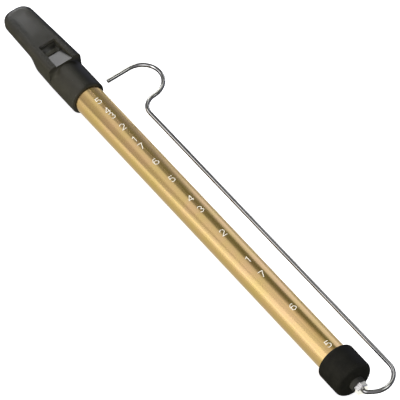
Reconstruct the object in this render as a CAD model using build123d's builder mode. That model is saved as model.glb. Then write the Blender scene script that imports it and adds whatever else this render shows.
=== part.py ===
"""Slide whistle: a fipple mouthpiece on a brass barrel, with a bent wire slide that carries the piston.

The barrel lies along X with the mouthpiece towards -X, the sound window faces +Z and the wire's return
run lies beside the barrel on the +Y side. The slide is drawn fully in and pulls out along +X.
"""
import os
from math import cos, radians, sin

from build123d import *

os.makedirs("parts", exist_ok=True)

# Barrel: drawn brass tube
barrel_diameter = 15.875
barrel_wall = 0.5
barrel_exposed = 206.7
joint_clearance = 0.05

# Mouthpiece, measured along the barrel
mouthpiece_length = 67.6
shoulder_lead = 2.4
shoulder_length = 9.0
sleeve_length = 19.6
sleeve_diameter = 19.3
socket_depth = 17.0
rim_round = 0.9

# Mouthpiece, across the barrel: heights are above the bore's axis
tip_width = 16.4
tip_top = 9.5
block_top = 11.2
beak_floor = 2.6
tip_corner_round = 6.6
beak_edge_round = 2.8
beak_under_round = 2.0
shoulder_round = 3.0
shoulder_wall = 1.8

# Windway and sound window
window_length = 16.5
window_width = 9.6
ramp_end_width = 10.3
cut_up = 6.2
labium_height = 8.0
ramp_end_height = 10.5
windway_height = 1.2
windway_block_height = 3.9
windway_block_setback = 0.8

# End cap with a round boss
cap_diameter = 20.6
cap_length = 16.4
cap_wall = 4.0
cap_rim_round = 1.0
cap_end_round = 2.4
cap_crown = 1.2
boss_diameter = 7.8
boss_length = 2.5

# Guide bush: hex head outside the cap, shank, washer and lock nut inside
bush_hex = 6.0
bush_head_length = 3.2
bush_shank_diameter = 4.4
bush_nut_length = 1.8
bush_washer_diameter = 10.0
bush_washer_length = 0.6
bush_shank_proud = 0.3
hex_chamfer = 0.35

# Felt ring that stops the piston softly at the end of its travel
felt_ring_bore = 8.4
felt_ring_length = 5.4

# Slide wire
rod_diameter = 2.2
rod_clearance = 0.05
bush_bend_gap = 0.3
bush_bend_radius = 2.2
bush_bend_angle = 55.0
bend_bridge = 2.8
run_offset = 18.9
swan_radius = 8.2
crook_radius = 11.3
pointer_length = 13.2
pointer_setback = 3.2
wire_end_round = 0.4

# Piston: two discs and a felt packing on a hub that turns freely on the wire
piston_length = 10.0
piston_disc_thickness = 1.0
piston_disc_gap = 0.3
packing_clearance = 0.05
hub_diameter = 5.0
hub_flange_diameter = 7.0
hub_flange_thickness = 0.6
swivel_gap = 0.1
rod_collar_diameter = 4.4
rod_collar_length = 1.6
end_washer_diameter = 5.6
end_washer_thickness = 0.6
end_nut_hex = 4.0
end_nut_length = 1.6
rod_end_proud = 0.4

# Radii
barrel_radius = barrel_diameter / 2
bore_radius = barrel_radius - barrel_wall
sleeve_radius = sleeve_diameter / 2
cap_radius = cap_diameter / 2
rod_radius = rod_diameter / 2
socket_radius = barrel_radius + joint_clearance

# The wire's U bend: a tight bend at the bush, a short bridge and a wide bend that meets the return run
bend_turn = radians(bush_bend_angle)
bridge_end_rise = bush_bend_radius * (1 - cos(bend_turn)) + bend_bridge * sin(bend_turn)
run_bend_radius = (run_offset - bridge_end_rise) / (1 + cos(bend_turn))
bend_reach = (bush_bend_radius * sin(bend_turn) + bend_bridge * cos(bend_turn)
              + run_bend_radius * (1 - sin(bend_turn)) + rod_radius)

# The part stands on its lowest line, and its box is centred on the origin
overall_length = (mouthpiece_length + barrel_exposed + cap_length + boss_length + bush_head_length
                  + bush_bend_gap + bend_reach)
hook_reach = run_offset + swan_radius + crook_radius + rod_radius
barrel_reach = max(cap_radius, sleeve_radius)
axis_y = (barrel_reach - hook_reach) / 2
axis_z = barrel_reach

# Places along the barrel
tip_x = -overall_length / 2
rim_x = tip_x + mouthpiece_length
step_x = rim_x - sleeve_length
window_x = step_x - window_length
labium_x = window_x + cut_up
shoulder_x = window_x - shoulder_lead
seat_x = rim_x - socket_depth
cap_rim_x = rim_x + barrel_exposed
cap_end_x = cap_rim_x + cap_length
cap_inside_x = cap_end_x - cap_wall
boss_end_x = cap_end_x + boss_length
bush_end_x = boss_end_x + bush_head_length
bush_nut_x = cap_inside_x - bush_washer_length - bush_nut_length
shank_end_x = bush_nut_x - bush_shank_proud
felt_face_x = cap_inside_x - felt_ring_length
bend_x = bush_end_x + bush_bend_gap
piston_x = rim_x - pointer_setback
piston_rear_x = piston_x + piston_length
hub_rear_x = piston_rear_x + hub_flange_thickness

# Planes and axis through the bore
plan = Plane((0, axis_y, axis_z))
side = Plane((0, axis_y, axis_z), x_dir=(1, 0, 0), z_dir=(0, -1, 0))
bore_axis = Axis((0, axis_y, axis_z), (1, 0, 0))


def across(x):
    """Plane square to the bore at x, with Y to its right and Z up."""
    return Plane((x, axis_y, axis_z), x_dir=(0, 1, 0), z_dir=(1, 0, 0))


# Mouthpiece body: a tapered beak, round below and flat above, that runs into a round sleeve
shoulder_end_x = shoulder_x + shoulder_length
shoulder_slope = (sleeve_radius + beak_floor) / shoulder_length
windway_ceiling = labium_height + windway_height / 2
windway_floor = labium_height - windway_height / 2
block_floor = windway_floor - windway_block_height
beyond = 5.0

# Hollow of the bore under the window, closed below by the sloping shoulder
with BuildPart() as bore_hollow:
    with BuildSketch(across(window_x)):
        Circle(bore_radius)
    extrude(amount=seat_x - window_x + barrel_wall)
    with BuildSketch(side):
        with BuildLine():
            inner_top_x = shoulder_x + shoulder_wall * (1 + shoulder_slope**2) ** 0.5 / shoulder_slope
            inner_end_x = inner_top_x + shoulder_length
            Polyline(
                (shoulder_x - beyond, beak_floor),
                (inner_top_x, beak_floor),
                (inner_end_x, -sleeve_radius),
                (shoulder_x - beyond, -sleeve_radius),
                close=True,
            )
        make_face()
    extrude(amount=sleeve_radius, both=True, mode=Mode.SUBTRACT)

# Sound window: the mouth, then the ramp that rises and widens from the labium's edge
with BuildPart() as window_cut:
    with BuildSketch(side):
        with BuildLine():
            Polyline(
                (window_x, 0),
                (labium_x, 0),
                (labium_x, labium_height),
                (step_x, ramp_end_height),
                (step_x, block_top + beyond),
                (window_x, block_top + beyond),
                close=True,
            )
        make_face()
    extrude(amount=ramp_end_width, both=True)
    with BuildSketch(plan):
        with BuildLine():
            Polyline(
                (window_x, -window_width / 2),
                (labium_x, -window_width / 2),
                (step_x, -ramp_end_width / 2),
                (step_x, ramp_end_width / 2),
                (labium_x, window_width / 2),
                (window_x, window_width / 2),
                close=True,
            )
        make_face()
    extrude(amount=block_top + beyond, mode=Mode.INTERSECT)

with BuildPart() as mouthpiece_body:
    # Beak and window block: round-bottomed sections that widen from the tip to the step
    for section_x, half_width, top in ((tip_x, tip_width / 2, tip_top), (step_x, sleeve_radius, block_top)):
        with BuildSketch(across(section_x)):
            with BuildLine():
                Line((half_width, 0), (half_width, top))
                Line((half_width, top), (-half_width, top))
                Line((-half_width, top), (-half_width, 0))
                ThreePointArc((-half_width, 0), (0, -half_width), (half_width, 0))
            make_face()
    loft()
    # The underside: flat below the beak, then a slope down to the sleeve
    with BuildSketch(side):
        with BuildLine():
            FilletPolyline(
                (tip_x - 2 * beyond, beak_floor),
                (shoulder_x, beak_floor),
                (shoulder_end_x + 2 * beyond / shoulder_slope, -sleeve_radius - 2 * beyond),
                (tip_x - 2 * beyond, -sleeve_radius - 2 * beyond),
                radius=shoulder_round,
                close=True,
            )
        make_face()
    extrude(amount=sleeve_radius + beyond, both=True, mode=Mode.SUBTRACT)
    tip_edges = edges().filter_by(Axis.Z, tolerance=10).group_by(Axis.X)[0]
    fillet(tip_edges, tip_corner_round)
    top_face = faces().sort_by(Axis.Z)[-1]
    fillet(top_face.edges().group_by(Axis.X)[:-1], beak_edge_round)
    under_face = faces().filter_by(Axis.Z).sort_by(Axis.Z)[0]
    fillet(under_face.edges().group_by(Axis.X)[:-1], beak_under_round)
    # Round sleeve that takes the barrel
    with BuildSketch(across(step_x)):
        Circle(sleeve_radius)
    extrude(amount=sleeve_length)
    fillet(edges().group_by(Axis.X)[-1], rim_round)
    with BuildSketch(across(seat_x)):
        Circle(socket_radius)
    extrude(amount=socket_depth, mode=Mode.SUBTRACT)
    add(bore_hollow.part, mode=Mode.SUBTRACT)
    # Channel from the tip: the block fills its lower part, and the windway is left above it
    with BuildSketch(across(tip_x - beyond)):
        with BuildLine():
            Polyline(
                (-window_width / 2, block_floor),
                (window_width / 2, block_floor),
                (window_width / 2, windway_ceiling),
                (-window_width / 2, windway_ceiling),
                close=True,
            )
        make_face()
    extrude(amount=window_x - tip_x + 2 * beyond, mode=Mode.SUBTRACT)
    add(window_cut.part, mode=Mode.SUBTRACT)
mouthpiece_body.part.label = "mouthpiece_body"
export_step(mouthpiece_body.part, "parts/mouthpiece_body.step")

# Windway block: pushed into the beak from the tip, its top is the windway's floor
with BuildPart() as windway_block:
    with BuildSketch(across(tip_x + windway_block_setback)):
        with Locations((0, block_floor + joint_clearance)):
            Rectangle(
                window_width - 2 * joint_clearance,
                windway_block_height - joint_clearance,
                align=(Align.CENTER, Align.MIN),
            )
    extrude(amount=window_x - tip_x - windway_block_setback)
    chamfer(faces().sort_by(Axis.X)[-1].edges().sort_by(Axis.Z)[-1], windway_height / 3)
windway_block.part.label = "windway_block"
export_step(windway_block.part, "parts/windway_block.step")

# Barrel tube: from its seat in the mouthpiece to the inner end of the cap
with BuildPart() as barrel_tube:
    with BuildSketch(across(seat_x)):
        Circle(barrel_radius)
        Circle(bore_radius, mode=Mode.SUBTRACT)
    extrude(amount=cap_inside_x - seat_x)
barrel_tube.part.label = "barrel_tube"
export_step(barrel_tube.part, "parts/barrel_tube.step")

# End cap: a turned cup with a slightly crowned end and a boss for the bush
bush_hole_radius = bush_shank_diameter / 2 + joint_clearance
with BuildPart() as end_cap:
    with BuildSketch(side):
        with BuildLine():
            Polyline(
                (cap_rim_x, socket_radius),
                (cap_rim_x, cap_radius),
                (cap_end_x - cap_crown, cap_radius),
                (cap_end_x, boss_diameter / 2),
                (boss_end_x, boss_diameter / 2),
                (boss_end_x, bush_hole_radius),
                (cap_inside_x, bush_hole_radius),
                (cap_inside_x, socket_radius),
                close=True,
            )
        make_face()
    revolve(axis=bore_axis)
    outer_edges = edges().filter_by(GeomType.CIRCLE).filter_by(lambda edge: abs(edge.radius - cap_radius) < 1e-6)
    fillet(outer_edges.sort_by(Axis.X)[-1], cap_end_round)
    outer_edges = edges().filter_by(GeomType.CIRCLE).filter_by(lambda edge: abs(edge.radius - cap_radius) < 1e-6)
    fillet(outer_edges.sort_by(Axis.X)[0], cap_rim_round)
end_cap.part.label = "end_cap"
export_step(end_cap.part, "parts/end_cap.step")

# Guide bush: the wire runs in its bore
with BuildPart() as guide_bush:
    with BuildSketch(across(boss_end_x)):
        RegularPolygon(bush_hex / 2, 6, major_radius=False, rotation=30)
    extrude(amount=bush_head_length)
    chamfer(faces().sort_by(Axis.X)[-1].edges(), hex_chamfer)
    with BuildSketch(across(shank_end_x)):
        Circle(bush_shank_diameter / 2)
    extrude(amount=boss_end_x - shank_end_x)
    with BuildSketch(across(shank_end_x)):
        Circle(rod_radius + rod_clearance)
    extrude(amount=bush_end_x - shank_end_x, mode=Mode.SUBTRACT)
guide_bush.part.label = "guide_bush"
export_step(guide_bush.part, "parts/guide_bush.step")

# Washer and lock nut that hold the bush in the cap
with BuildPart() as bush_washer:
    with BuildSketch(across(cap_inside_x - bush_washer_length)):
        Circle(bush_washer_diameter / 2)
        Circle(bush_hole_radius, mode=Mode.SUBTRACT)
    extrude(amount=bush_washer_length)
bush_washer.part.label = "bush_washer"
export_step(bush_washer.part, "parts/bush_washer.step")

with BuildPart() as bush_nut:
    with BuildSketch(across(bush_nut_x)):
        RegularPolygon(bush_hex / 2, 6, major_radius=False, rotation=30)
        Circle(bush_hole_radius, mode=Mode.SUBTRACT)
    extrude(amount=bush_nut_length)
bush_nut.part.label = "bush_nut"
export_step(bush_nut.part, "parts/bush_nut.step")

# Felt stop ring: lines the end of the bore round the washer and nut
with BuildPart() as felt_stop:
    with BuildSketch(across(felt_face_x)):
        Circle(bore_radius - joint_clearance)
        Circle(felt_ring_bore / 2, mode=Mode.SUBTRACT)
    extrude(amount=felt_ring_length)
    with BuildSketch(across(cap_inside_x - bush_washer_length - joint_clearance)):
        Circle(bush_washer_diameter / 2 + joint_clearance)
    extrude(amount=bush_washer_length + joint_clearance, mode=Mode.SUBTRACT)
felt_stop.part.label = "felt_stop"
export_step(felt_stop.part, "parts/felt_stop.step")

# Piston hub: a flanged sleeve on the wire
with BuildPart() as piston_hub:
    with BuildSketch(across(piston_x)):
        Circle(hub_diameter / 2)
    extrude(amount=piston_length)
    with BuildSketch(across(piston_rear_x)):
        Circle(hub_flange_diameter / 2)
    extrude(amount=hub_flange_thickness)
    with BuildSketch(across(piston_x)):
        Circle(rod_radius + rod_clearance)
    extrude(amount=piston_length + hub_flange_thickness, mode=Mode.SUBTRACT)
piston_hub.part.label = "piston_hub"
export_step(piston_hub.part, "parts/piston_hub.step")

# Piston discs, front and rear, and the felt packing between them
hub_hole_radius = hub_diameter / 2 + joint_clearance
for disc_name, disc_x in (
    ("piston_front_disc", piston_x),
    ("piston_rear_disc", piston_rear_x - piston_disc_thickness),
):
    with BuildPart() as piston_disc:
        with BuildSketch(across(disc_x)):
            Circle(bore_radius - piston_disc_gap)
            Circle(hub_hole_radius, mode=Mode.SUBTRACT)
        extrude(amount=piston_disc_thickness)
    piston_disc.part.label = disc_name
    export_step(piston_disc.part, f"parts/{disc_name}.step")

with BuildPart() as piston_packing:
    with BuildSketch(across(piston_x + piston_disc_thickness)):
        Circle(bore_radius - packing_clearance)
        Circle(hub_hole_radius, mode=Mode.SUBTRACT)
    extrude(amount=piston_length - 2 * piston_disc_thickness)
piston_packing.part.label = "piston_packing"
export_step(piston_packing.part, "parts/piston_packing.step")

# Slide wire: out of the bush, round to the return run, and into the finger hook with its pointer
rod_front_x = piston_x - swivel_gap - end_washer_thickness - end_nut_length - rod_end_proud
pointer_x = piston_x
run_end_x = pointer_x + 2 * crook_radius + swan_radius
with BuildPart() as slide_rod:
    with BuildLine(plan) as wire:
        stem = Line((rod_front_x, 0), (bend_x, 0))
        near_bend = JernArc(stem @ 1, stem % 1, bush_bend_radius, bush_bend_angle)
        bridge = Line(near_bend @ 1, near_bend @ 1 + (near_bend % 1) * bend_bridge)
        far_bend = JernArc(bridge @ 1, bridge % 1, run_bend_radius, 180 - bush_bend_angle)
        run = Line(far_bend @ 1, (run_end_x, run_offset))
        swan = JernArc(run @ 1, run % 1, swan_radius, -90)
        crook = JernArc(swan @ 1, swan % 1, crook_radius, 180)
        pointer = Line(crook @ 1, crook @ 1 + (crook % 1) * pointer_length)
    with BuildSketch(across(rod_front_x)):
        Circle(rod_radius)
    sweep(path=wire.line)
    pointer_end = faces().filter_by(Axis.Y).sort_by(Axis.X)[0]
    fillet(pointer_end.edges(), wire_end_round)
slide_rod.part.label = "slide_rod"
export_step(slide_rod.part, "parts/slide_rod.step")

# Collar behind the piston, and the washer and nut in front of it: they hold the hub on the wire
with BuildPart() as rod_collar:
    with BuildSketch(across(hub_rear_x + swivel_gap)):
        Circle(rod_collar_diameter / 2)
        Circle(rod_radius + joint_clearance, mode=Mode.SUBTRACT)
    extrude(amount=rod_collar_length)
rod_collar.part.label = "rod_collar"
export_step(rod_collar.part, "parts/rod_collar.step")

with BuildPart() as rod_end_washer:
    with BuildSketch(across(piston_x - swivel_gap - end_washer_thickness)):
        Circle(end_washer_diameter / 2)
        Circle(rod_radius + joint_clearance, mode=Mode.SUBTRACT)
    extrude(amount=end_washer_thickness)
rod_end_washer.part.label = "rod_end_washer"
export_step(rod_end_washer.part, "parts/rod_end_washer.step")

with BuildPart() as rod_end_nut:
    with BuildSketch(across(piston_x - swivel_gap - end_washer_thickness - end_nut_length)):
        RegularPolygon(end_nut_hex / 2, 6, major_radius=False, rotation=30)
        Circle(rod_radius + joint_clearance, mode=Mode.SUBTRACT)
    extrude(amount=end_nut_length)
rod_end_nut.part.label = "rod_end_nut"
export_step(rod_end_nut.part, "parts/rod_end_nut.step")

slide_travel = felt_face_x - piston_rear_x - joint_clearance
print("overall length", round(overall_length, 2), "slide travel", round(slide_travel, 2))
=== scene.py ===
import math

import bpy
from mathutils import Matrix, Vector


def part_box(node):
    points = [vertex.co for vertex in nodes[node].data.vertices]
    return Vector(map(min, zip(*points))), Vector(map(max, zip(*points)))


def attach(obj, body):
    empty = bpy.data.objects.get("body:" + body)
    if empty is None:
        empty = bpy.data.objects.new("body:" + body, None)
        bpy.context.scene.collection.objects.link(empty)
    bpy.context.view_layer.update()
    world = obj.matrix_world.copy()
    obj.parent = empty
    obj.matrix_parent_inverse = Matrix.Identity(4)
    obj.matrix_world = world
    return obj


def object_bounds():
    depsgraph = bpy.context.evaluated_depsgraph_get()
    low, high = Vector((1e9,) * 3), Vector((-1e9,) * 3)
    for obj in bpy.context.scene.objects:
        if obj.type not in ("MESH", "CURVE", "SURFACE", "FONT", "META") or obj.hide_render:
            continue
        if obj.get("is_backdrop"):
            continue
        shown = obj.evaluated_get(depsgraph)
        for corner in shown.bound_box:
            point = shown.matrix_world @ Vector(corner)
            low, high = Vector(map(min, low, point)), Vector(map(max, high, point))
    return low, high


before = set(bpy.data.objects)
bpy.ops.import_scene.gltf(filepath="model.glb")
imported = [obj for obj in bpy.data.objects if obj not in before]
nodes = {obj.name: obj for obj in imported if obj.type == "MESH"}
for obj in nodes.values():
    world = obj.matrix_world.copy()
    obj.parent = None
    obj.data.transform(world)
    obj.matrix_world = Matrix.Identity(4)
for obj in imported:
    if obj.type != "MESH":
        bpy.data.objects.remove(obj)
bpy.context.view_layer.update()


# Mouthpiece: one injection moulding in black plastic with a satin skin, pushed over the barrel's end.
# The block that floors the windway is the same plastic, pressed into the beak from its tip.
# The beak's top is slightly crowned and its shoulder runs softly into the sleeve, by shading alone.
def new_node(tree, kind, constants=(), effect=None):
    """New shader node, with constants on its input sockets; a Group node takes a shared effect."""
    made = tree.nodes.new("ShaderNode" + kind)
    if effect:
        made.node_tree = effect
    for socket, value in dict(constants).items():
        made.inputs[socket].default_value = value
    return made


def join(tree, *wires):
    """Links nodes; each wire gives a node and its output, then a node and its input."""
    for source, result, target, socket in wires:
        tree.links.new(source.outputs[result], target.inputs[socket])


def new_effect(name, settings, results):
    """Empty node group for an effect that several finishes share, with its inputs and outputs."""
    effect = bpy.data.node_groups.new(name, "ShaderNodeTree")
    for label, value in settings.items():
        socket = effect.interface.new_socket(label, in_out="INPUT", socket_type="NodeSocketFloat")
        socket.default_value = value
    for label in results:
        effect.interface.new_socket(label, in_out="OUTPUT", socket_type="NodeSocketFloat")
    return effect, effect.nodes.new("NodeGroupInput"), effect.nodes.new("NodeGroupOutput")


moulded_grain, settings, results = new_effect(
    "moulded_grain", {"Cloud Scale": 180.0, "Grain Scale": 5200.0}, ("Cloud", "Grain"))
place = new_node(moulded_grain, "TexCoord")
cloud = new_node(moulded_grain, "TexNoise", {"Detail": 3.0})
grain = new_node(moulded_grain, "TexNoise", {"Detail": 1.5})
join(
    moulded_grain,
    (place, "Object", cloud, "Vector"),
    (settings, "Cloud Scale", cloud, "Scale"),
    (cloud, "Fac", results, "Cloud"),
    (place, "Object", grain, "Vector"),
    (settings, "Grain Scale", grain, "Scale"),
    (grain, "Fac", results, "Grain"),
)


def new_finish(name):
    """Empty material, with its node tree and its Principled shader."""
    finish = bpy.data.materials.new(name)
    finish.use_nodes = True
    return finish, finish.node_tree, finish.node_tree.nodes["Principled BSDF"]


def colour_ramp(tree, stops):
    """New colour ramp through stops, each a place from 0 to 1 and a colour, in order."""
    made = new_node(tree, "ValToRGB")
    elements = made.color_ramp.elements
    for element, (place, colour) in ((elements[0], stops[0]), (elements[-1], stops[-1])):
        element.position = place
        element.color = (*colour, 1)
    for place, colour in stops[1:-1]:
        elements.new(place).color = (*colour, 1)
    return made


satin_black, tree, shader = new_finish("satin_black_plastic")
grain = new_node(tree, "Group", effect=moulded_grain)
tone = colour_ramp(tree, ((0.3, (0.016, 0.0154, 0.0122)), (0.72, (0.0215, 0.0205, 0.0163))))
sheen = new_node(tree, "MapRange", {"To Min": 0.26, "To Max": 0.32})
bump = new_node(tree, "Bump", {"Strength": 0.25, "Distance": 0.00004})
shader.inputs["Specular IOR Level"].default_value = 0.29
join(
    tree,
    (grain, "Cloud", tone, "Fac"),
    (tone, "Color", shader, "Base Color"),
    (grain, "Cloud", sheen, "Value"),
    (sheen, "Result", shader, "Roughness"),
    (grain, "Grain", bump, "Height"),
    (bump, "Normal", shader, "Normal"),
)


def new_math(tree, operation, constants=()):
    """New Math node for one operation."""
    made = new_node(tree, "Math", constants)
    made.operation = operation
    return made


soft_radius = 0.0045
side_start = 0.002
side_full = 0.004
hard = (0, 0, 0)
part_soft = (0.15, 0.15, 0.15)
soft = (1, 1, 1)
mouth_low, mouth_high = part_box("mouthpiece_body")
place = new_node(tree, "TexCoord")
split = new_node(tree, "SeparateXYZ")
along = new_node(tree, "MapRange", {"From Min": mouth_low.x, "From Max": mouth_high.x})
# The places on both ramps are shares of the length from the tip to the sleeve's rim.
crown = colour_ramp(tree, ((0.0, part_soft), (0.12, soft), (0.325, soft), (0.44, hard)))
shoulder = colour_ramp(tree, ((0.50, hard), (0.60, soft), (0.80, soft), (0.88, hard)))
down_side = new_node(
    tree, "MapRange", {"From Min": mouth_high.z - side_start, "From Max": mouth_high.z - side_full})
on_side = new_math(tree, "MULTIPLY")
either = new_math(tree, "MAXIMUM")
radius = new_math(tree, "MULTIPLY", {1: soft_radius})
rounding = new_node(tree, "Bevel")
rounding.samples = 12
join(
    tree,
    (place, "Object", split, "Vector"),
    (split, "X", along, "Value"),
    (along, "Result", crown, "Fac"),
    (along, "Result", shoulder, "Fac"),
    (split, "Z", down_side, "Value"),
    (shoulder, "Color", on_side, 0),
    (down_side, "Result", on_side, 1),
    (crown, "Color", either, 0),
    (on_side, "Value", either, 1),
    (either, "Value", radius, 0),
    (radius, "Value", rounding, "Radius"),
    (rounding, "Normal", bump, "Normal"),
)


def wear(finish, *pieces):
    """Puts a finish on CAD nodes or new pieces."""
    for piece in pieces:
        piece.data.materials.clear()
        piece.data.materials.append(finish)


wear(satin_black, nodes["mouthpiece_body"], nodes["windway_block"])


# Barrel: a length of drawn brass tube, polished and lacquered, with the faint lengthwise lines of the draw.
# It is held in the mouthpiece's socket at one end and in the cap at the other.
drawn_lines, settings, results = new_effect(
    "drawn_lines", {"Along": 7.0, "Across": 2000.0}, ("Lines", "Cloud"))
place = new_node(drawn_lines, "TexCoord")
scales = new_node(drawn_lines, "CombineXYZ")
stretch = new_node(drawn_lines, "VectorMath")
stretch.operation = "MULTIPLY"
lines = new_node(drawn_lines, "TexNoise", {"Scale": 1.0, "Detail": 2.0})
cloud = new_node(drawn_lines, "TexNoise", {"Scale": 95.0, "Detail": 4.0})
join(
    drawn_lines,
    (settings, "Along", scales, "X"),
    (settings, "Across", scales, "Y"),
    (settings, "Across", scales, "Z"),
    (place, "Object", stretch, 0),
    (scales, "Vector", stretch, 1),
    (stretch, "Vector", lines, "Vector"),
    (place, "Object", cloud, "Vector"),
    (lines, "Fac", results, "Lines"),
    (cloud, "Fac", results, "Cloud"),
)


def bright_metal(name, line_scales, tones, polish):
    """Polished metal with a clouded tone, rougher and smoother along the lines of its making."""
    finish, tree, shader = new_finish(name)
    lines = new_node(tree, "Group", line_scales, drawn_lines)
    tone = colour_ramp(tree, tones)
    sheen = new_node(tree, "MapRange", {"To Min": polish[0], "To Max": polish[1]})
    shader.inputs["Metallic"].default_value = 1.0
    join(
        tree,
        (lines, "Cloud", tone, "Fac"),
        (tone, "Color", shader, "Base Color"),
        (lines, "Lines", sheen, "Value"),
        (sheen, "Result", shader, "Roughness"),
    )
    return finish, tree, shader, lines


barrel_brass, tree, shader, lines = bright_metal(
    "barrel_brass", {}, ((0.34, (0.755, 0.505, 0.212)), (0.66, (0.725, 0.522, 0.176))), (0.17, 0.23))
bump = new_node(tree, "Bump", {"Strength": 0.04, "Distance": 0.00002})
join(tree, (lines, "Lines", bump, "Height"), (bump, "Normal", shader, "Normal"))
wear(barrel_brass, nodes["barrel_tube"])


# Scale numbers: cream ink printed along the barrel's top line, one for each note that the pointer stops at.
# Their places follow the air column, which halves with each octave; the tops face the mouthpiece.
# Each figure is drawn with a pen in a box one unit high, then laid round the tube as a thin film.
number_height = 0.0037
stroke_width = 0.0004
pen_step = 0.0004
bow_steps = 16
widest_mitre = 2.0
ink_lift = 0.00002
ink_thickness = 0.00003
number_start = -0.13747
lowest_column = 0.25528
octave = 12
printed_row = "543217654321765"
semitones_up = (24, 22, 21, 19, 17, 16, 14, 12, 10, 9, 7, 5, 4, 2, 0)


def bow(x, y, across, up, start, end):
    """Part of an ellipse for a figure, by its middle, half sizes and the angles where it starts and ends."""
    turns = [math.radians(start + (end - start) * i / bow_steps) for i in range(bow_steps + 1)]
    return [(x + across * math.cos(turn), y + up * math.sin(turn)) for turn in turns]


pen_strokes = {
    "1": [[(-0.22, 0.26), (0.05, 0.5), (0.05, -0.5)]],
    "2": [bow(0.0, 0.2, 0.31, 0.3, 165, -35) + [(-0.33, -0.5), (0.35, -0.5)]],
    "3": [bow(-0.02, 0.25, 0.28, 0.25, 150, -90), bow(-0.02, -0.25, 0.32, 0.25, 90, -150)],
    "4": [[(0.37, -0.22), (-0.36, -0.22), (0.15, 0.5)], [(0.15, 0.5), (0.15, -0.5)]],
    "5": [[(0.29, 0.5), (-0.22, 0.5), (-0.28, 0.02)], bow(-0.02, -0.18, 0.33, 0.32, 140, -150)],
    "6": [bow(0.02, 0.0, 0.35, 0.5, 55, 215), bow(0.0, -0.2, 0.33, 0.3, 0, 360)],
    "7": [[(-0.34, 0.5), (0.34, 0.5), (-0.1, -0.5)]],
}
tube_low, tube_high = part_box("barrel_tube")
tube_middle = (tube_low + tube_high) / 2
ink_radius = (tube_high.z - tube_low.z) / 2 + ink_lift
ink_points = []
ink_faces = []
for figure, semitones in zip(printed_row, semitones_up):
    note_x = number_start + lowest_column * 2 ** (-semitones / octave)
    for stroke in pen_strokes[figure]:
        path = [Vector(stroke[0]) * number_height]
        for point in stroke[1:]:
            begin = path[-1]
            reach = Vector(point) * number_height - begin
            steps = math.ceil(reach.length / pen_step)
            path += [begin + reach * step / steps for step in range(1, steps + 1)]
        for i, spot in enumerate(path):
            before = (path[max(i, 1)] - path[max(i, 1) - 1]).normalized()
            after = (path[i + 1] - spot).normalized() if i + 1 < len(path) else before
            heading = (before + after).normalized()
            half = stroke_width / 2 / max(heading.dot(before), 1 / widest_mitre)
            for side in (-half, half):
                lean = (spot.x - heading.y * side) / ink_radius
                ink_points.append((
                    note_x - spot.y - heading.x * side,
                    tube_middle.y + ink_radius * math.sin(lean),
                    tube_middle.z + ink_radius * math.cos(lean),
                ))
            if i > 0:
                last = len(ink_points) - 1
                ink_faces.append((last - 3, last - 1, last, last - 2))
ink_mesh = bpy.data.meshes.new("scale_numbers")
ink_mesh.from_pydata(ink_points, [], ink_faces)
scale_numbers = bpy.data.objects.new("scale_numbers", ink_mesh)
bpy.context.scene.collection.objects.link(scale_numbers)
film = scale_numbers.modifiers.new("film", "SOLIDIFY")
film.thickness = ink_thickness
film.offset = 1.0
bpy.context.view_layer.objects.active = scale_numbers
bpy.ops.object.modifier_apply(modifier="film")

cream_ink, tree, shader = new_finish("cream_ink")
grain = new_node(tree, "Group", {"Cloud Scale": 900.0}, moulded_grain)
tone = colour_ramp(tree, ((0.28, (0.95, 0.86, 0.66)), (0.55, (0.99, 0.94, 0.79))))
shader.inputs["Roughness"].default_value = 0.5
join(tree, (grain, "Cloud", tone, "Fac"), (tone, "Color", shader, "Base Color"))
wear(cream_ink, scale_numbers)
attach(scale_numbers, "barrel")


# End cap: a round cup moulded in matt black plastic, with a small boss at its end that carries the bush.
# It is pushed over the barrel's far end; the boss is painted a little paler than the cup, as painted light
# that lifts it out of its shade.
boss_length = 0.0025
boss_blend = 0.0002
cup_black = (0.0062, 0.0060, 0.0046)
# The boss's paler colour is painted light, not a colour of the plastic.
boss_painted_light = (0.0155, 0.015, 0.014)
boss_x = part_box("end_cap")[1].x - boss_length
matt_black, tree, shader = new_finish("matt_black_plastic")
grain = new_node(tree, "Group", {"Cloud Scale": 260.0, "Grain Scale": 3600.0}, moulded_grain)
place = new_node(tree, "TexCoord")
split = new_node(tree, "SeparateXYZ")
# This mask picks out the boss for its painted light; the random cloud tone is mixed in with it.
boss_light_mask = new_node(tree, "MapRange", {"From Min": boss_x - boss_blend, "From Max": boss_x + boss_blend})
tone_and_boss_light = new_math(tree, "MAXIMUM")
tone = colour_ramp(
    tree, ((0.3, (0.0035, 0.0034, 0.0026)), (0.7, cup_black), (0.85, cup_black), (1.0, boss_painted_light)))
sheen = new_node(tree, "MapRange", {"To Min": 0.5, "To Max": 0.62})
bump = new_node(tree, "Bump", {"Strength": 0.35, "Distance": 0.00005})
shader.inputs["Specular IOR Level"].default_value = 0.18
join(
    tree,
    (place, "Object", split, "Vector"),
    (split, "X", boss_light_mask, "Value"),
    (grain, "Cloud", tone_and_boss_light, 0),
    (boss_light_mask, "Result", tone_and_boss_light, 1),
    (tone_and_boss_light, "Value", tone, "Fac"),
    (tone, "Color", shader, "Base Color"),
    (grain, "Cloud", sheen, "Value"),
    (sheen, "Result", shader, "Roughness"),
    (grain, "Grain", bump, "Height"),
    (bump, "Normal", shader, "Normal"),
)
wear(matt_black, nodes["end_cap"])


# Guide bush: turned from hex brass bar and nickel-plated bright, so that the wire runs true in the cap.
# Its neck goes through the boss, and a washer and lock nut, plated the same, hold it from inside.
bush_nickel = bright_metal(
    "bush_nickel", {"Along": 900.0, "Across": 1400.0},
    ((0.3, (0.68, 0.665, 0.59)), (0.7, (0.78, 0.765, 0.69))), (0.22, 0.32))[0]
wear(bush_nickel, nodes["guide_bush"], nodes["bush_washer"], nodes["bush_nut"])


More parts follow.
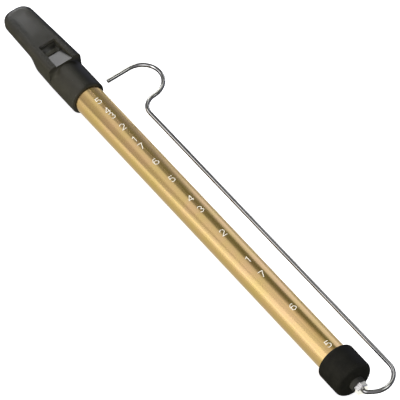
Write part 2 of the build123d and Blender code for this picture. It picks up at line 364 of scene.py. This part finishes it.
# Felt stop: a ring punched from pressed felt, set at the cap's end of the bore.
# It stops the piston softly when the slide is pulled right out.
pressed_felt, tree, shader = new_finish("pressed_felt")
grain = new_node(tree, "Group", {"Cloud Scale": 700.0, "Grain Scale": 2500.0}, moulded_grain)
tone = colour_ramp(tree, ((0.0, (0.22, 0.20, 0.17)), (1.0, (0.42, 0.39, 0.33))))
bump = new_node(tree, "Bump", {"Strength": 0.8, "Distance": 0.0002})
shader.inputs["Roughness"].default_value = 0.95
join(
    tree,
    (grain, "Grain", tone, "Fac"),
    (tone, "Color", shader, "Base Color"),
    (grain, "Grain", bump, "Height"),
    (bump, "Normal", shader, "Normal"),
)
wear(pressed_felt, nodes["felt_stop"])


# Piston: a turned brass hub and two brass discs, which hold a ring of greased felt that seals the bore.
# It slides in the barrel with the wire, and the wire turns in its hub.
wear(barrel_brass, nodes["piston_hub"], nodes["piston_front_disc"], nodes["piston_rear_disc"])
wear(pressed_felt, nodes["piston_packing"])


# Slide wire: one length of hard steel wire, bent cold to the U bend, the long return run and the finger
# hook, and plated a darker nickel. The collar, washer and nut that hold the piston on it are plated with it.
wire_nickel = bright_metal(
    "wire_nickel", {"Along": 500.0, "Across": 1200.0},
    ((0.3, (0.29, 0.284, 0.262)), (0.7, (0.365, 0.359, 0.335))), (0.05, 0.09))[0]
wear(wire_nickel, nodes["slide_rod"], nodes["rod_collar"], nodes["rod_end_washer"], nodes["rod_end_nut"])


# Studio: a plain white floor under a sky in soft bands that run along the barrel and show in its brass.
# Softboxes, strips and cards each give the highlights of one piece; the fills lift the black plastic.
# The camera stands where the photograph was taken.
floor_size = 8.0
floor_drop = 0.0004
floor_glow = 0.85
bpy.ops.object.select_all(action="DESELECT")
bpy.ops.mesh.primitive_plane_add(size=floor_size, location=(0, 0, -floor_drop))
floor = bpy.context.object
floor.name = "floor"
white_floor, tree, shader = new_finish("white_floor")
shader.inputs["Base Color"].default_value = (0.9, 0.9, 0.9, 1)
shader.inputs["Roughness"].default_value = 0.9
shader.inputs["Specular IOR Level"].default_value = 0.0
shader.inputs["Emission Color"].default_value = (1, 1, 1, 1)
shader.inputs["Emission Strength"].default_value = floor_glow
wear(white_floor, floor)
floor.visible_glossy = False
floor.visible_diffuse = False
floor.visible_shadow = False
floor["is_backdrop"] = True

# Each band: its angle from straight up towards +Y in degrees, its light and its tint.
sky_bands = (
    (-180, 0.08, (1.00, 1.00, 0.90)),
    (-140, 0.08, (1.00, 1.00, 0.90)),
    (-119, 0.14, (1.00, 1.00, 0.90)),
    (-100, 0.28, (1.00, 1.00, 0.95)),
    (-85, 0.42, (1.00, 1.00, 1.05)),
    (-62, 0.42, (1.00, 0.96, 1.12)),
    (-45, 0.54, (1.00, 0.96, 1.10)),
    (-33, 0.56, (1.00, 0.96, 1.10)),
    (-16, 0.46, (1.00, 0.98, 1.10)),
    (0, 0.42, (1.00, 1.02, 1.15)),
    (10, 0.32, (1.00, 1.04, 1.10)),
    (20, 0.18, (1.00, 1.04, 0.78)),
    (33, 0.125, (1.00, 1.05, 0.52)),
    (46, 0.25, (1.00, 1.05, 1.00)),
    (62, 0.22, (1.00, 1.04, 1.30)),
    (88, 0.36, (1.00, 1.04, 1.40)),
    (102, 0.26, (1.00, 1.02, 1.30)),
    (112, 0.10, (1.00, 1.02, 1.20)),
    (180, 0.08, (1.00, 1.00, 0.90)),
)
sky = bpy.data.worlds.new("studio_sky")
bpy.context.scene.world = sky
sky.use_nodes = True
tree = sky.node_tree
place = new_node(tree, "TexCoord")
split = new_node(tree, "SeparateXYZ")
turn = new_math(tree, "ARCTAN2")
share = new_node(tree, "MapRange", {"From Min": -math.pi, "From Max": math.pi})
bands = colour_ramp(tree, [
    ((angle + 180) / 360, [light * part for part in tint]) for angle, light, tint in sky_bands])
join(
    tree,
    (place, "Generated", split, "Vector"),
    (split, "Y", turn, 0),
    (split, "Z", turn, 1),
    (turn, "Value", share, "Value"),
    (share, "Result", bands, "Fac"),
    (bands, "Color", tree.nodes["Background"], "Color"),
)

barrel = (nodes["barrel_tube"],)
wire = (nodes["slide_rod"],)
bush = (nodes["guide_bush"],)
block = (nodes["windway_block"],)
body = (nodes["mouthpiece_body"],)
mouth = body + block
plastics = mouth + (nodes["end_cap"],)
all_but_mouth = tuple(piece for piece in nodes.values() if piece not in mouth) + (scale_numbers, floor)
everything = None
unmirrored = ("key", "fill_end", "fill_left", "fill_window")
# Each lamp: its name, what it lights, its place, its aim, width, height, beam in degrees, watts and colour.
lamps = (
    ("softbox_front", barrel, (-0.185, -0.55, 0.37), (0.13, -0.014, 0.010),
     0.30, 0.50, 180, 0.44, (1.00, 1.06, 1.36)),
    ("softbox_back", barrel, (-0.23, 0.60, 0.19), (0.09, -0.014, 0.010),
     0.30, 0.46, 180, 0.30, (1.00, 1.04, 1.50)),
    ("softbox_top", barrel, (-0.97, 0.16, 0.63), (-0.30, -0.014, 0.010),
     0.80, 0.70, 180, 0.66, (1.00, 0.99, 1.70)),
    ("softbox_beak", everything, (-0.607, 0.173, 0.297), (-0.11, -0.014, 0.018),
     0.20, 0.20, 180, 0.95, (1.00, 1.00, 1.02)),
    ("strip_low", barrel, (-0.19, -0.69, 0.07), (0.22, -0.014, 0.010),
     0.60, 0.25, 180, 0.34, (1.00, 1.02, 1.20)),
    ("strip_high", barrel, (-0.40, -0.166, 0.671), (0.02, -0.014, 0.010),
     0.52, 0.28, 180, 0.20, (1.00, 1.02, 1.30)),
    ("strip_wire", wire + bush, (-0.39, -0.515, 0.445), (0.03, 0.004, 0.010),
     0.70, 0.22, 180, 1.45, (1.00, 1.02, 1.10)),
    ("strip_edge", wire, (-0.22, 0.60, 0.12), (0.14, 0.004, 0.010),
     0.30, 0.24, 180, 0.35, (1.00, 1.02, 1.10)),
    ("softbox_bend", wire, (0.17, -0.35, 0.50), (0.14, -0.010, 0.010),
     0.40, 0.40, 180, 1.3, (1.00, 1.02, 1.10)),
    ("softbox_turn", wire, (0.30, 0.10, 0.25), (0.14, -0.005, 0.010),
     0.30, 0.30, 34, 0.054, (1.00, 1.02, 1.10)),
    ("softbox_side", wire, (-0.04, 0.27, 0.484), (0.14, 0.0, 0.010),
     0.40, 0.40, 28, 0.042, (1.00, 1.02, 1.10)),
    ("softbox_hook", wire, (-0.196, -0.33, 0.484), (-0.07, 0.02, 0.010),
     0.26, 0.26, 26, 0.052, (1.00, 1.02, 1.10)),
    ("softbox_sleeve", mouth, (-0.413, -0.06, 0.522), (-0.095, -0.0146, 0.0196),
     0.36, 0.36, 180, 0.34, (1.00, 0.97, 0.90)),
    ("strip_bush", bush, (-0.22, 0.60, 0.12), (0.135, -0.0146, 0.010),
     0.30, 0.24, 180, 0.08, (1.00, 0.98, 0.80)),
    ("glow_bush", bush, (0.135, -0.0146, -0.20), (0.135, 0.0, 0.010),
     0.60, 0.60, 180, 1.4, (1.00, 1.00, 1.00)),
    ("card_end", barrel, (-0.002, 0.075, 0.255), (0.157, 0.0334, 0.005),
     0.26, 0.05, 180, 0.016, (1.00, 0.86, 1.00)),
    ("fill_end", plastics, (0.75, -0.25, 0.25), (-0.11, -0.015, 0.018),
     0.30, 0.30, 180, 5.0, (1.00, 1.00, 0.92)),
    ("fill_left", plastics, (0.04, -0.783, 0.18), (-0.11, -0.015, 0.018),
     0.30, 0.30, 180, 15.0, (1.00, 0.97, 0.82)),
    ("fill_window", block, (0.413, -0.33, 0.81), (-0.117, -0.0146, 0.018),
     0.30, 0.30, 180, 5.0, (1.00, 1.00, 0.95)),
    ("glow_window", body, (-0.106, -0.0175, 0.0110), (-0.117, -0.0095, 0.0050),
     0.006, 0.004, 120, 0.0034, (1.00, 1.02, 1.00)),
    ("key", all_but_mouth, (0.50, 0.30, 1.20), (0.0, 0.0, 0.010),
     0.60, 0.60, 180, 12.5, (1.00, 1.00, 1.00)),
    ("table_glow", barrel, (0.0, 0.0, -0.20), (0.0, 0.0, 0.010),
     3.0, 3.0, 180, 15.5, (1.00, 1.00, 0.92)),
)
for name, lit_pieces, spot, target, wide, high, beam, watts, colour in lamps:
    lamp = bpy.data.lights.new(name, "AREA")
    lamp.shape = "RECTANGLE"
    lamp.size = wide
    lamp.size_y = high
    lamp.energy = watts
    lamp.spread = math.radians(beam)
    lamp.color = colour
    lamp_object = bpy.data.objects.new(name, lamp)
    bpy.context.scene.collection.objects.link(lamp_object)
    lamp_object.location = spot
    lamp_object.rotation_euler = (Vector(target) - Vector(spot)).to_track_quat("-Z", "Y").to_euler()
    lamp_object.visible_camera = False
    lamp_object.visible_glossy = name not in unmirrored
    if lit_pieces:
        takers = bpy.data.collections.new(name + "_takers")
        for piece in lit_pieces:
            takers.objects.link(piece)
        lamp_object.light_linking.receiver_collection = takers

camera_spot = (0.91211, -0.54532, 1.36923)
camera_turns = (37.630, 4.042, 54.174)
camera_data = bpy.data.cameras.new("camera")
camera_data.lens = 313.6
camera_data.sensor_width = 36.0
camera_data.clip_end = 20.0
camera = bpy.data.objects.new("camera", camera_data)
bpy.context.scene.collection.objects.link(camera)
camera.location = camera_spot
camera.rotation_euler = [math.radians(turn) for turn in camera_turns]
bpy.context.scene.camera = camera
bpy.context.scene.view_settings.view_transform = "Standard"

low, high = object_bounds()
